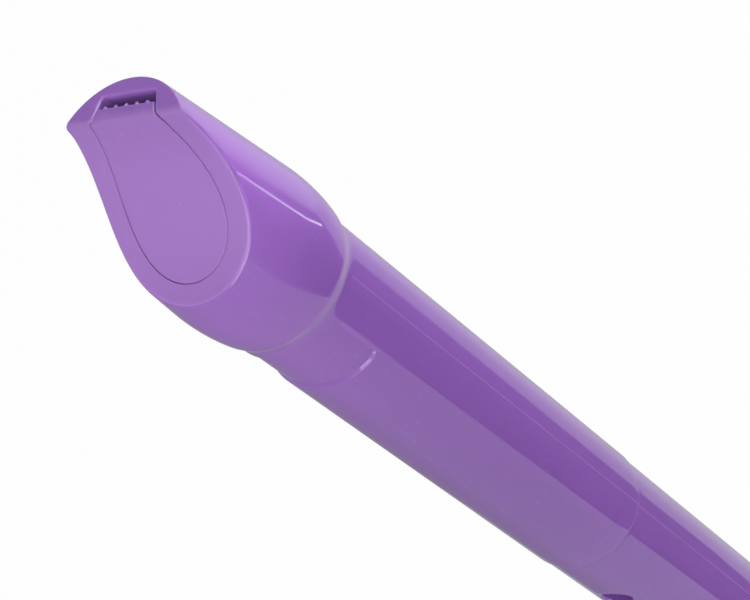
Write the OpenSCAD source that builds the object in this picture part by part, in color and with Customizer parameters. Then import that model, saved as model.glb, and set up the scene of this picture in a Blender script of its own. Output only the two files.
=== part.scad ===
// Soprano recorder in moulded plastic: head with beak and windway, plug-in
// block, middle joint with finger holes, and foot.
// It stands on its foot, +Z towards the beak, finger holes towards -Y.
// Stations are distances down from the tip of the beak, in millimetres.

/* [Head] */
// Length of the head from the tip to the end of its socket
head_len = 138; // [120:1:160]
// Diameter of the plain tube of the head
tube_d = 24; // [23:0.1:28]
// Diameter of the flat tip
tip_d = 23.1; // [20:0.1:25]
// Largest diameter of the bulb
bulb_d = 27.2; // [25:0.1:34]
// Station of the bulb's largest diameter
bulb_at = 30.7; // [26:0.1:36]
// Radius of the bulb's lengthwise curve
bulb_curve = 43; // [36:1:60]
// Station where the bulb starts to round in to the tube
shoulder_at = 37.9; // [36:0.1:40]
// Radius of that rounding
shoulder_round = 3; // [2:0.1:5]
// Radius of the hollow corner between the shoulder and the tube
neck_round = 1.6; // [0.8:0.1:2.4]
// Diameter of the bore below the window
head_bore_d = 13.2; // [11:0.1:14]

/* [Beak] */
// Radius of the hollow cut across the underside of the beak
cut_radius = 28; // [25:0.5:34]
// How far the axis of that cut lies behind the bore axis
cut_behind = 22.8; // [21:0.1:28]
// How far the axis of that cut lies above the tip
cut_above = 3.9; // [1:0.1:8]
// Rounding of the lip between the tip and the cut
lip_round = 1; // [0.4:0.1:1.6]

/* [Windway and window] */
// Width of the windway roof
windway_w = 9.4; // [7:0.1:11]
// Distance from the bore axis to the windway roof at the tip
roof_at_tip = 9; // [8.6:0.1:9.6]
// Distance from the bore axis to the windway roof at the window
roof_at_window = 8.3; // [7.9:0.1:8.6]
// Distance from the bore axis to the windway floor
floor_level = 7.1; // [6.8:0.1:7.6]
// Station where the windway opens into the window
windway_len = 41; // [36:1:46]
// Length of the window from the windway to the labium edge
window_len = 4; // [3:0.1:5]
// Length of the labium ramp
ramp_len = 15; // [10:0.5:20]
// Thickness of the labium edge
labium_t = 0.4; // [0.2:0.1:0.8]
// Length of the flat under the labium
underside_len = 12; // [8:0.5:18]

/* [Block] */
// Diameter of the round plug
block_d = 17.4; // [16:0.1:18]
// How far the plug's centre lies behind the bore axis
block_behind = 1.4; // [1:0.05:1.7]
// Extra width of the block at the lip, on each side of the windway
key_flare = 0.9; // [0.4:0.1:1.4]
// Gap round the block
block_gap = 0.08; // [0.03:0.01:0.15]
// Ribs on the windway floor
rib_count = 5; // [3:1:7]
// Height of a rib
rib_h = 0.45; // [0.2:0.05:0.6]
// Width of a rib
rib_w = 0.7; // [0.3:0.05:0.8]
// Length of a rib
rib_len = 6; // [3:0.5:12]

/* [Back panel] */
// Width of the shallow panel on the back of the head
panel_w = 20.1; // [12:0.1:21]
// Station of its lower edge
panel_end = 54.7; // [50:0.1:60]
// Height of the panel
panel_h = 11; // [8:0.5:12]
// Depth of the panel
panel_depth = 0.3; // [0.1:0.05:0.5]
// Radius of its corners
panel_corner = 1.2; // [0.5:0.1:2]

/* [Joints] */
// Depth of the head socket
head_socket_len = 22; // [16:0.5:28]
// Diameter of the upper tenon
head_tenon_d = 17.4; // [16.5:0.1:18.5]
// Depth of the foot socket
foot_socket_len = 14.5; // [10:0.5:18]
// Diameter of the lower tenon
foot_tenon_d = 15.4; // [14.5:0.1:16]
// Radial clearance of a tenon in its socket
tenon_gap = 0.05; // [0.02:0.01:0.1]
// Gap between the end of a tenon and the bottom of its socket
tenon_end_gap = 0.5; // [0.2:0.1:1]
// Gap between a socket's rim and the shoulder it seats on
seat_gap = 0.05; // [0.02:0.01:0.1]
// Rounding of a socket's rim
rim_round = 0.4; // [0.2:0.1:1.2]
// Depth of the grease grooves on a tenon
groove_depth = 0.35; // [0.2:0.05:0.6]
// Width of a grease groove
groove_w = 1.6; // [1:0.1:2.5]

/* [Middle joint] */
// Visible length of the middle joint
middle_len = 132; // [115:1:150]
// Diameter under the head
middle_top_d = 23.5; // [22:0.1:24]
// Diameter above the foot
middle_low_d = 23.3; // [21:0.1:24]
// Bore at the top
bore_top_d = 13; // [12:0.1:13.2]
// Bore at the bottom
bore_low_d = 10.8; // [9.5:0.1:11.5]

/* [Holes] */
// Place of the thumb hole, as a share of the middle joint from its top
thumb_share = 0.14; // [0.1:0.01:0.16]
// Diameter of the thumb hole
thumb_d = 5.6; // [4.5:0.1:6.5]
// Places of the single front holes, as shares of the middle joint: the notes follow its length
hole_share = [0.18, 0.325, 0.475, 0.68, 0.82]; // [0.16:0.005:0.84]
// Diameters of the single front holes
hole_d = [5.6, 6.6, 6.3, 6.6, 6.8]; // [4.5:0.1:7]
// Place of the double sixth hole, as a share of the middle joint
sixth_share = 0.94; // [0.93:0.005:0.95]
// Distance of the double seventh hole below the top of the foot
seventh_down = 20; // [18:0.5:24]
// Diameters of the two holes of a pair
pair_d = [4, 3.4]; // [3:0.1:4.2]
// Angle between the two holes of a pair
pair_angle = 29; // [26:0.5:36]
// Width of the bevel round a hole
hole_bevel = 0.5; // [0.2:0.1:0.8]

/* [Foot] */
// Length of the foot
foot_len = 56; // [45:1:70]
// Diameter of the foot at its socket
foot_top_d = 23.8; // [23:0.1:27]
// Diameter of the waist
waist_d = 21.2; // [20:0.1:23]
// Distance of the waist below the top of the foot
waist_down = 31; // [26:0.5:36]
// Diameter of the bell
bell_d = 25; // [22:0.1:27]
// Distance of the bell's widest ring above the end
bell_up = 5; // [3:0.5:8]
// Bore at the end of the foot
foot_bore_d = 10; // [8.5:0.1:10.6]
// Length of the straight bore at the end of the foot
foot_bore_len = 28; // [20:0.5:30]
// Bevel at the mouth of the bore
mouth_bevel = 0.8; // [0.3:0.1:1.2]

/* [Hidden] */
$fn = 96;
eps = 0.01;
far = 40;
plastic = [0.52, 0.33, 0.69];

total_len = head_len + middle_len + foot_len;
middle_top = head_len;
foot_top = head_len + middle_len;
tube_r = tube_d / 2;
bulb_r = bulb_d / 2;
tip_r = tip_d / 2;
block_r = block_d / 2;
head_bore_r = head_bore_d / 2;
socket_r = head_tenon_d / 2 + tenon_gap;
foot_socket_r = foot_tenon_d / 2 + tenon_gap;
labium_at = windway_len + window_len;
ramp_top = floor_level + labium_t;

// Height above the foot of a station measured down from the tip
function up(station) = total_len - station;

// The bulb's curve has its centre on the far side of the axis. A straight
// taper runs from the tip to the place where it would touch that curve, and
// a tighter rounding follows the curve at the shoulder. Neighbours overlap
// by a hair, so that they cross and don't only touch.
hair = 0.02;
overrun = 3;
curve_r = bulb_r - bulb_curve;
curve_z = up(bulb_at);
tip_span = norm([tip_r - curve_r, bulb_at]);
touch = atan2(bulb_at, tip_r - curve_r) - acos(bulb_curve / tip_span);
touch_z = curve_z + bulb_curve * sin(touch);
taper = (curve_r + bulb_curve * cos(touch) - hair - tip_r) / (up(0) - touch_z);
taper_end_z = touch_z - overrun;
taper_end_r = tip_r + taper * (up(0) - taper_end_z);
shoulder_turn = asin((shoulder_at - bulb_at) / bulb_curve);
shoulder_reach = bulb_curve - shoulder_round + hair / 4;
shoulder_r = curve_r + shoulder_reach * cos(shoulder_turn);
shoulder_z = curve_z - shoulder_reach * sin(shoulder_turn);

// The neck's corner is filled up to a circle that rests on the shoulder and
// on the tube
neck_r = tube_r + neck_round;
neck_z = shoulder_z - sqrt(pow(shoulder_round + neck_round, 2) - pow(neck_r - shoulder_r, 2));

module neck_fill() {
  difference() {
    polygon([[shoulder_r, shoulder_z], [neck_r, neck_z], [tube_r - 1, neck_z]]);
    translate([neck_r, neck_z]) circle(r = neck_round + hair / 4, $fn = 180);
  }
}

// Everything outside a circle and the tube, below a given height
module outside_curve(r, z, radius, below) {
  end_z = up(head_len);
  difference() {
    translate([0, end_z - 1]) square([far, below - end_z + 1]);
    translate([r, z]) circle(r = radius, $fn = 360);
    translate([0, end_z - 2]) square([tube_r, head_len]);
    neck_fill();
  }
}

// Profile of the head's outside: a blank with the taper, the bulb, its
// shoulder and the rim of the socket turned off it
module head_profile() {
  end_z = up(head_len);
  difference() {
    translate([0, end_z]) square([bulb_d, head_len]);
    polygon([[tip_r, up(-1)], [tip_r, up(0)], [taper_end_r, taper_end_z], [far, taper_end_z], [far, up(-1)]]);
    outside_curve(curve_r, curve_z, bulb_curve, touch_z);
    outside_curve(shoulder_r, shoulder_z, shoulder_round, up(shoulder_at));
    difference() {
      translate([tube_r - rim_round, end_z - 1]) square([2, rim_round + 1]);
      translate([tube_r - rim_round, end_z + rim_round]) circle(r = rim_round);
    }
  }
}

// Extrudes a side-view outline, drawn as [y, z], across the instrument
module across(width) {
  rotate([90, 0, 90]) translate([0, 0, -width / 2]) linear_extrude(width) children();
}

// The hollow under the beak with the rounding of its lip
lip_y = cut_behind - sqrt(pow(cut_radius + lip_round, 2) - pow(cut_above + lip_round, 2));
lip_share = cut_radius / (cut_radius + lip_round);
lip_touch_y = cut_behind + (lip_y - cut_behind) * lip_share;
lip_touch_z = up(-cut_above) - (cut_above + lip_round) * lip_share;

module beak_cut() {
  across(far) {
    translate([cut_behind, up(-cut_above)]) circle(r = cut_radius, $fn = 240);
    difference() {
      polygon([[lip_y, up(0)], [lip_y, up(-1)], [0, up(-1)], [lip_touch_y, lip_touch_z]]);
      translate([lip_y, up(lip_round)]) circle(r = lip_round);
    }
  }
}

// Section of the block: a round plug and a key that carries the windway
// floor. grow widens it into the hole that the block fits.
module block_section(grow) {
  lip_level = cut_radius - cut_behind;
  key_slope = key_flare / (roof_at_tip - lip_level);
  key_low = windway_w / 2 + roof_at_tip * key_slope + grow;
  key_high = windway_w / 2 + grow;
  translate([0, block_behind]) circle(r = block_r + grow);
  polygon([[-key_high, -roof_at_tip], [key_high, -roof_at_tip], [key_low, 0], [-key_low, 0]]);
}

// Everything behind a level that may slope from the tip to the window
module behind_level(at_tip, at_window) {
  slope = (at_window - at_tip) / windway_len;
  across(far)
    polygon([[-at_tip + slope, up(-1)], [far, up(-1)], [far, up(windway_len + 1)],
             [-at_window - slope, up(windway_len + 1)]]);
}

// The hole for the block, with the windway above it
module block_hole() {
  intersection() {
    translate([0, 0, up(windway_len)]) linear_extrude(windway_len + 1) block_section(block_gap);
    behind_level(roof_at_tip, roof_at_window);
  }
}

// The window, the labium ramp below it and the flat under the labium
module window_cut() {
  corner = sqrt(pow(head_bore_r, 2) - pow(windway_w / 2, 2));
  ramp_slope = (tube_r - ramp_top) / ramp_len;
  outside = far / 2;
  across(windway_w)
    polygon([[0, up(windway_len)], [-outside, up(windway_len)],
             [-outside, up(labium_at) - (outside - ramp_top) / ramp_slope],
             [-ramp_top, up(labium_at)], [-floor_level, up(labium_at)],
             [-corner, up(labium_at + underside_len)], [0, up(labium_at + underside_len)]]);
}

// The shallow panel on the back, with round corners
module panel_cut() {
  intersection() {
    translate([0, far, up(panel_end)]) rotate([90, 0, 0]) linear_extrude(far) {
      translate([-panel_w / 2 + panel_corner, 0]) square([panel_w - 2 * panel_corner, panel_h]);
      translate([-panel_w / 2, panel_corner]) square([panel_w, panel_h - 2 * panel_corner]);
      for (side = [-1, 1], high = [panel_corner, panel_h - panel_corner])
        translate([side * (panel_w / 2 - panel_corner), high]) circle(r = panel_corner);
    }
    translate([0, 0, up(panel_end) - 1]) difference() {
      cylinder(r = bulb_d, h = panel_h + 2);
      translate([0, 0, -1]) cylinder(r = tube_r - panel_depth, h = panel_h + 4);
    }
  }
}

module head_joint() {
  color(plastic) difference() {
    rotate_extrude($fn = 180) head_profile();
    beak_cut();
    block_hole();
    window_cut();
    panel_cut();
    translate([0, 0, up(head_len) - 1]) cylinder(r = head_bore_r, h = head_len - windway_len + 1);
    translate([0, 0, up(head_len) - 1]) cylinder(r = socket_r, h = head_socket_len + 1);
  }
}

// The block reaches from the ledge at the window up to the beak's surface
module windway_block() {
  rib_pitch = windway_w / rib_count;
  color(plastic) difference() {
    union() {
      intersection() {
        translate([0, 0, up(windway_len)]) linear_extrude(windway_len) block_section(0);
        behind_level(floor_level, floor_level);
      }
      for (i = [0:rib_count - 1])
        translate([(i + 0.5) * rib_pitch - windway_w / 2 - rib_w / 2, -floor_level - rib_h, up(rib_len)])
          cube([rib_w, rib_h + 1, rib_len]);
    }
    beak_cut();
  }
}

// Profile of a tenon: straight, bevelled at its free end, with two grooves
module tenon_profile(r, len) {
  difference() {
    polygon([[0, 0], [r, 0], [r, len - rim_round], [r - rim_round / 2, len], [0, len]]);
    for (share = [0.3, 0.65])
      translate([r - groove_depth, share * len - groove_w / 2]) square([groove_depth + 1, groove_w]);
  }
}

// A finger hole with its bevel, drilled from the front through one wall
module finger_hole(d, surface_r, turn) {
  rotate([90, 0, turn]) {
    cylinder(d = d, h = far / 2);
    translate([0, 0, surface_r - hole_bevel])
      cylinder(d1 = d, d2 = d + 4 * hole_bevel, h = 2 * hole_bevel);
  }
}

module hole_pair(surface_r) {
  for (i = [0, 1])
    finger_hole(pair_d[i], surface_r, (i - 0.5) * pair_angle);
}

// Height and outside radius of the middle joint at a share of its length
function middle_z(share) = up(middle_top + share * middle_len);
function middle_r(share) = (middle_top_d + (middle_low_d - middle_top_d) * share) / 2;

upper_tenon_len = head_socket_len - tenon_end_gap + seat_gap;
lower_tenon_len = foot_socket_len - tenon_end_gap + seat_gap;

module middle_joint() {
  top_z = up(middle_top) - seat_gap;
  low_z = up(foot_top) + seat_gap;
  bevel = rim_round / 2;
  color(plastic) difference() {
    rotate_extrude($fn = 180) {
      polygon([[0, low_z], [middle_low_d / 2 - bevel, low_z], [middle_low_d / 2, low_z + bevel],
               [middle_top_d / 2, top_z - bevel], [middle_top_d / 2 - bevel, top_z], [0, top_z]]);
      translate([0, top_z]) tenon_profile(head_tenon_d / 2, upper_tenon_len);
      translate([0, low_z]) mirror([0, 1]) tenon_profile(foot_tenon_d / 2, lower_tenon_len);
    }
    translate([0, 0, low_z - lower_tenon_len - eps])
      cylinder(d1 = bore_low_d, d2 = bore_top_d,
               h = top_z - low_z + upper_tenon_len + lower_tenon_len + 2 * eps);
    for (i = [0:len(hole_share) - 1])
      translate([0, 0, middle_z(hole_share[i])]) finger_hole(hole_d[i], middle_r(hole_share[i]), 0);
    translate([0, 0, middle_z(sixth_share)]) hole_pair(middle_r(sixth_share));
    translate([0, 0, middle_z(thumb_share)]) finger_hole(thumb_d, middle_r(thumb_share), 180);
  }
}

// The foot's outside is one smooth swing: full at the socket, drawn in at
// the waist and out again to the bell. Each half is a half wave of a cosine.
function swing(from, to, share) = from + (to - from) * (1 - cos(180 * share)) / 2;
waist_steps = 12;

module foot_profile() {
  socket_end = foot_len - foot_socket_len;
  waist_z = foot_len - waist_down;
  top_r = foot_top_d / 2;
  bell_r = bell_d / 2;
  difference() {
    polygon(concat(
      [[0, 0], [bell_r - bell_up / 2, 0]],
      [for (i = [0:waist_steps]) let (share = i / waist_steps)
        [bell_r - bell_up / 2 + bell_up / 2 * sin(90 * share), bell_up * (1 - cos(90 * share))]],
      [for (i = [1:waist_steps]) let (share = i / waist_steps)
        [swing(bell_r, waist_d / 2, share), bell_up + (waist_z - bell_up) * share]],
      [for (i = [1:waist_steps]) let (share = i / waist_steps)
        [swing(waist_d / 2, top_r, share), waist_z + (socket_end - waist_z) * share]],
      [[top_r, foot_len], [0, foot_len]]));
    difference() {
      translate([top_r - rim_round, foot_len - rim_round]) square(rim_round + 1);
      translate([top_r - rim_round, foot_len - rim_round]) circle(r = rim_round);
    }
  }
}

module foot_joint() {
  foot_bore_r = foot_bore_d / 2;
  socket_z = foot_len - foot_socket_len;
  color(plastic) difference() {
    rotate_extrude($fn = 180) foot_profile();
    translate([0, 0, socket_z]) cylinder(r = foot_socket_r, h = foot_socket_len + 1);
    translate([0, 0, -1]) cylinder(r = foot_bore_r, h = foot_len);
    translate([0, 0, foot_bore_len])
      cylinder(r1 = foot_bore_r, d2 = bore_low_d, h = socket_z - foot_bore_len + eps);
    translate([0, 0, -eps]) cylinder(r1 = foot_bore_r + mouth_bevel, r2 = foot_bore_r, h = mouth_bevel);
    translate([0, 0, foot_len - seventh_down]) hole_pair(foot_top_d / 2);
  }
}

head_joint();
windway_block();
middle_joint();
foot_joint();
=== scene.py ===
# %% [markdown]
# # A moulded recorder, piece by piece
# A school recorder comes apart into four mouldings: the head with its beak, the block that plugs the
# beak, the middle joint with its finger holes, and the foot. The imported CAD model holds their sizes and
# joints, and it is loaded first as a fixed frame. Everything after that adds what the eye looks for at
# arm's length: small radii on every edge, gloss, a satin beak and a little wear.

# %% Load the frame
import math

import bmesh
import bpy
import numpy as np
from mathutils import Matrix, Vector


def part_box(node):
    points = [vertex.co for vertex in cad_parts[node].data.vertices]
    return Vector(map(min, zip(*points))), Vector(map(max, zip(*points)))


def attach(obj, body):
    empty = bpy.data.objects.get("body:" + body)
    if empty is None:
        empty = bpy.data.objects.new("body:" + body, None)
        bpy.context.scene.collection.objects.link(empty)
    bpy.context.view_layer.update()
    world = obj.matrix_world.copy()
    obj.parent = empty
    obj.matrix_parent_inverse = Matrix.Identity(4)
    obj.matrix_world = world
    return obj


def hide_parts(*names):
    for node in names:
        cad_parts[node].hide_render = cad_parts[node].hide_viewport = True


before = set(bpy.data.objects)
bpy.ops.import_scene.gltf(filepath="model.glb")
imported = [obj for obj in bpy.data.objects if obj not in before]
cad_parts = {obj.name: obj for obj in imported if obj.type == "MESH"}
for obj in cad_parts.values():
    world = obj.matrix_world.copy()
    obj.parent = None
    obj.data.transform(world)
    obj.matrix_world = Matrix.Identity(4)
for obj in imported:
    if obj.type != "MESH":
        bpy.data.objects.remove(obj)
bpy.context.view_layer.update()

# %% [markdown]
# ## Millimetres and stations
# A recorder maker measures down from the tip of the beak, so places along the tube are stations in
# millimetres from there. The tip, the end of the socket and the thickness of the bulb are read from the
# frame, and the rest are the maker's own sizes.

# %% Sizes of the head
MM = 0.001
head_low, head_high = (np.array(corner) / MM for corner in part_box("head_joint"))
tip_z = head_high[2]
head_len = head_high[2] - head_low[2]
bulb_r = head_high[0]
tube_r = 12.0
tip_r = 11.55
bulb_at = 30.7
bulb_curve = 43.0
shoulder_at = 37.9
shoulder_round = 7.0
neck_fillet = 7.0
rim_round = 0.4
head_bore_r = 6.6
socket_r = 8.75
socket_len = 22.0
windway_len = 41.0
print(f"head {head_len:.1f} mm long, bulb {2 * bulb_r:.1f} mm thick")

# %% [markdown]
# ## Skinning rings
# Nearly every surface here runs in a ring round the instrument. A moulding is then a list of rings with
# the same number of points, joined by quads. That gives even faces that shade cleanly, which a CAD
# triangulation doesn't. The faces are turned to look outwards, and where a ring shrinks to one point, its
# points are merged.

# %% Rings to mesh
touching = 2e-7


def add_piece(name, mesh):
    piece = bpy.data.objects.new(name, mesh)
    bpy.context.scene.collection.objects.link(piece)
    return piece


def finish_mesh(mesh, sharp_degrees=40):
    """Smooth shading, with a crease only where the surface really turns a corner."""
    mesh.polygons.foreach_set("use_smooth", [True] * len(mesh.polygons))
    mesh.set_sharp_from_angle(angle=math.radians(sharp_degrees))
    mesh.update()


def merge_points(mesh, distance=touching):
    work = bmesh.new()
    work.from_mesh(mesh)
    bmesh.ops.remove_doubles(work, verts=work.verts, dist=distance)
    work.to_mesh(mesh)
    work.free()


def skin(name, rings, closed=False, materials=(), finishes=None):
    """Joins rings of points in millimetres into a mesh. finishes gives each face's place in materials."""
    rings = np.asarray(rings, float)
    count, around = rings.shape[:2]
    bands = count if closed else count - 1
    row = np.arange(bands)[:, None]
    col = np.arange(around)[None, :]
    above = (row + 1) % count
    beside = (col + 1) % around
    corners = [row * around + col, row * around + beside, above * around + beside, above * around + col]
    quads = np.stack(corners, -1).reshape(-1, 4)
    points = rings.reshape(-1, 3) * MM
    a, b, c, d = (points[quads[:, i]] for i in range(4))
    from_middle = a - points.mean(0)
    volume = np.sum(np.cross(b - a, c - a) * from_middle) + np.sum(np.cross(c - a, d - a) * from_middle)
    if volume < 0:
        quads = quads[:, ::-1]
    mesh = bpy.data.meshes.new(name)
    mesh.from_pydata(points.tolist(), [], quads.tolist())
    for material in materials:
        mesh.materials.append(material)
    if finishes is not None:
        mesh.polygons.foreach_set("material_index", finishes[:bands].ravel())
    merge_points(mesh)
    finish_mesh(mesh)
    return add_piece(name, mesh)


print("points closer than", touching, "m count as one")

# %% [markdown]
# ## Cutting one mesh with another
# The window and the finger holes are cut through the wall, so a helper runs Blender's Boolean modifier with
# its exact solver and keeps the result as a plain mesh. A cut leaves slivers thinner than a hair. Merging
# the closest points afterwards removes them, so that the shading round a hole stays clean.

# %% Carving
sliver = 1.5e-5


def carve(piece, tool, operation="DIFFERENCE"):
    """Cuts a tool out of a piece, or joins it on, and throws the tool away."""
    step = piece.modifiers.new("carve", "BOOLEAN")
    step.operation = operation
    step.solver = "EXACT"
    step.object = tool
    graph = bpy.context.evaluated_depsgraph_get()
    mesh = bpy.data.meshes.new_from_object(piece.evaluated_get(graph))
    piece.modifiers.clear()
    piece.data = mesh
    bpy.data.objects.remove(tool)
    merge_points(mesh, sliver)
    finish_mesh(mesh)


print("slivers under", sliver, "m are closed after a cut")

# %% [markdown]
# ## Two small sums
# A soft ramp from 0 to 1 blends sizes and depths without a kink, and unit vectors give directions. Both work
# on whole rings of points at once, which keeps the script quick.

# %% Ramp and direction
def smooth_step(value, low, high):
    share = np.clip((value - low) / (high - low), 0, 1)
    return share * share * (3 - 2 * share)


def unit(vectors):
    return vectors / np.linalg.norm(vectors, axis=-1, keepdims=True)


print("half way up the ramp:", smooth_step(0.5, 0, 1))

# %% [markdown]
# ## The top of the beak
# Seen from the side, the top of the beak is a flat tip, a small rounded lip and one long hollow arc. All
# three run straight across the instrument, so the surface can be unrolled flat: x across and s along the
# side-view line. Outlines are drawn in that flat sheet and then wrapped back.

# %% The side-view line of the beak
cut_radius = 28.0
cut_behind = 22.8
cut_above = 3.9
lip_round = 1.0
lip_y = cut_behind - math.sqrt((cut_radius + lip_round) ** 2 - (cut_above + lip_round) ** 2)
lip_turn = math.acos((cut_above + lip_round) / (cut_radius + lip_round))
lip_end = lip_round * lip_turn
cut_start = 1.5 * math.pi - lip_turn


def beak_point(x, s):
    """A point of the unrolled sheet, wrapped back on to the tip, the lip or the hollow."""
    turn = np.clip(s, 0, lip_end) / lip_round
    swing = cut_start + (np.maximum(s, lip_end) - lip_end) / cut_radius
    lip_part_y = lip_y + np.minimum(s, 0) + lip_round * np.sin(turn)
    lip_part_z = tip_z - lip_round * (1 - np.cos(turn))
    y = np.where(s < lip_end, lip_part_y, cut_behind + cut_radius * np.cos(swing))
    z = np.where(s < lip_end, lip_part_z, tip_z + cut_above + cut_radius * np.sin(swing))
    return np.stack([x, y, z], -1)


def beak_normal(s):
    turn = np.clip(s, 0, lip_end) / lip_round
    swing = cut_start + (np.maximum(s, lip_end) - lip_end) / cut_radius
    y = np.where(s < lip_end, np.sin(turn), -np.cos(swing))
    z = np.where(s < lip_end, np.cos(turn), -np.sin(swing))
    return np.stack([np.zeros_like(y), y, z], -1)


def sheet_s(y):
    """The s of a point of the beak's top, from its y."""
    on_lip = lip_round * np.arcsin(np.clip((y - lip_y) / lip_round, 0, 1))
    swing = 2 * math.pi - np.arccos(np.clip((y - cut_behind) / cut_radius, -1, 1))
    on_cut = lip_end + cut_radius * (swing - cut_start)
    lip_stop = lip_y + lip_round * math.sin(lip_turn)
    return np.where(y < lip_y, y - lip_y, np.where(y < lip_stop, on_lip, on_cut))


print(f"lip at y {lip_y:.2f} mm, rounded over {math.degrees(lip_turn):.0f} degrees")

# %% [markdown]
# ## Outlines in the sheet
# Three closed outlines lie in the sheet: the rim where the hollow meets the outside of the head, the hole
# for the block, and the block itself. Rays from one centre cross all three, so the same ray gives each
# outline its matching point, and the rings between them never cross.

# %% The taper of the beak and the rim
sheet_centre = 15.0
side_clear = math.radians(0.9)
side_close = np.radians([-0.6, -0.2, 0.2, 0.6])


def turns(count):
    """Even angles all round, with four close ones at each side, where the halves of a mould meet."""
    even = 2 * math.pi * (np.arange(count) + 0.5) / count - math.pi
    even = even[np.abs(np.abs(even) - math.pi / 2) > side_clear]
    close = math.pi / 2 + side_close
    return np.sort(np.concatenate([even, close, -close]))


head_rays = 600
ray = turns(head_rays)
columns = len(ray)
curve_r = bulb_r - bulb_curve
touch = math.atan2(bulb_at, tip_r - curve_r) - math.acos(bulb_curve / math.hypot(tip_r - curve_r, bulb_at))
touch_at = bulb_at - bulb_curve * math.sin(touch)
taper = (curve_r + bulb_curve * math.cos(touch) - tip_r) / touch_at


def along_rays(x, s):
    """Distances from the sheet's centre to a half outline, at every ray."""
    angle = np.arctan2(x, sheet_centre - s)
    order = np.argsort(angle)
    reach = np.hypot(x, sheet_centre - s)
    found = np.interp(np.abs(ray), angle[order], reach[order])
    return (np.roll(found, 1) + 2 * found + np.roll(found, -1)) / 4


def on_rays(reach):
    return reach * np.sin(ray), sheet_centre - reach * np.cos(ray)


fine_points = 4001
deepest_rim = 30.0
halvings = 60


def rim_reach():
    """Walks each azimuth down the taper until it meets the top of the beak."""
    azimuth = np.linspace(0, math.pi, fine_points)
    low = np.zeros_like(azimuth)
    high = np.full_like(azimuth, deepest_rim)
    for _ in range(halvings):
        station = (low + high) / 2
        y = (tip_r + taper * station) * np.cos(azimuth)
        above = tip_z - station > beak_point(y, sheet_s(y))[..., 2]
        low = np.where(above, station, low)
        high = np.where(above, high, station)
    x = (tip_r + taper * high) * np.sin(azimuth)
    y = (tip_r + taper * high) * np.cos(azimuth)
    return along_rays(x, sheet_s(y))


rim_x, rim_s = on_rays(rim_reach())
rim = beak_point(rim_x, rim_s)
print(f"rim of the hollow {np.ptp(rim_x):.1f} mm wide, down to station {tip_z - rim[:, 2].min():.1f}")

# %% [markdown]
# ## The hole and the block in it
# From the tip the block looks like a keyhole: a key under the windway that flares a little, and a round plug
# behind it. One formula gives its half width at any depth, so the hole is the same outline grown by the
# gap. Two mouldings never meet without one, and that thin line is what tells them apart.

# %% The hole and the block
windway_w = 9.4
roof_at_tip = 9.0
roof_at_window = 8.3
floor_level = 7.1
block_r = 8.7
block_behind = 1.4
key_flare = 0.9
block_gap = 0.06
key_slope = key_flare / (roof_at_tip - (cut_radius - cut_behind))
outline_points = 4000
edge_points = 200


def half_width(y, grow):
    """Half the width of the block at a y: its key or its round plug, whichever is wider."""
    key = np.where(y < 0, windway_w / 2 + key_slope * (y + roof_at_tip) + grow, 0)
    plug_part = np.sqrt(np.maximum((block_r + grow) ** 2 - (y - block_behind) ** 2, 0))
    return np.maximum(key, plug_part)


def section_reach(front, grow):
    """The block's outline in the sheet, from the middle of its front edge round to its back."""
    back = block_behind + block_r + grow
    y = front + (back - front) * (1 - np.cos(np.linspace(0, math.pi, outline_points))) / 2
    x = half_width(y, grow)
    edge_x = np.linspace(0, x[0], edge_points, endpoint=False)
    x = np.concatenate([edge_x, x])
    y = np.concatenate([np.full_like(edge_x, front), y])
    return along_rays(x, sheet_s(y))


hole_x, hole_s = on_rays(section_reach(-roof_at_tip, block_gap))
block_x, block_s = on_rays(section_reach(-floor_level, 0))
print(f"hole {np.ptp(hole_x):.2f} mm wide, block {np.ptp(block_x):.2f} mm")

# %% [markdown]
# ## Purple plastic
# The outside is moulded in a polished tool, so it mirrors its surroundings. For the hollow of the beak the
# tool is finely textured, which leaves a satin. The flat tip is a little smoother, and its deeper colour is
# painted shade, for the weaker sheen of a face that looks up. The seam round the block is painted darker, as
# dirt and as painted shade in the gap. They are one plastic with four finishes. Image textures
# could paint them, but nodes stay sharp at any distance and need no unwrapping, so each finish is a node
# tree. A small helper keeps the making of its nodes short.

# %% Tints and a node helper
purple = (0.27, 0.105, 0.475)
satin_tint = (0.305, 0.147, 0.49)
# Painted shade: the tip gets a deeper tint than the satin, for the weaker sheen of a face that looks up.
tip_shade_tint = (0.30, 0.127, 0.52)
# Painted shade and dirt: the seam round the block is painted darker, so that the gap reads dark from every
# side.
seam_shade_and_dirt_tint = (0.22, 0.10, 0.35)


def add_node(nodes, kind, **settings):
    """A new node, with its properties and the values of its inputs set by name."""
    node = nodes.new(kind)
    for key, value in settings.items():
        if hasattr(node, key):
            setattr(node, key, value)
        else:
            node.inputs[key].default_value = value
    return node


print("gloss", purple, "satin", satin_tint)

# %% [markdown]
# ## One moulded plastic, four finishes
# Four noises make the plastic look handled. A soft one varies the colour by a few parts in a hundred. One
# that is stretched along the tube leaves faint scuffs, as a cloth and a bag do. A third breaks up the gloss
# where fingers have been, and a fine one is a bump: almost none on the gloss, a grain on the satin.

# %% The four finishes
plastic_ior = 1.5
cloud_scale = 70.0
cloud_spread = 0.04
scuff_scale = 2400.0
scuff_stretch = (1.0, 1.0, 0.15)
scuff_range = (0.68, 0.8)
scuff_gain = 1.1
scuff_dust = 0.01
smear_scale = 240.0
smear_range = (0.35, 0.75)
grain_strength = 0.6


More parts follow.
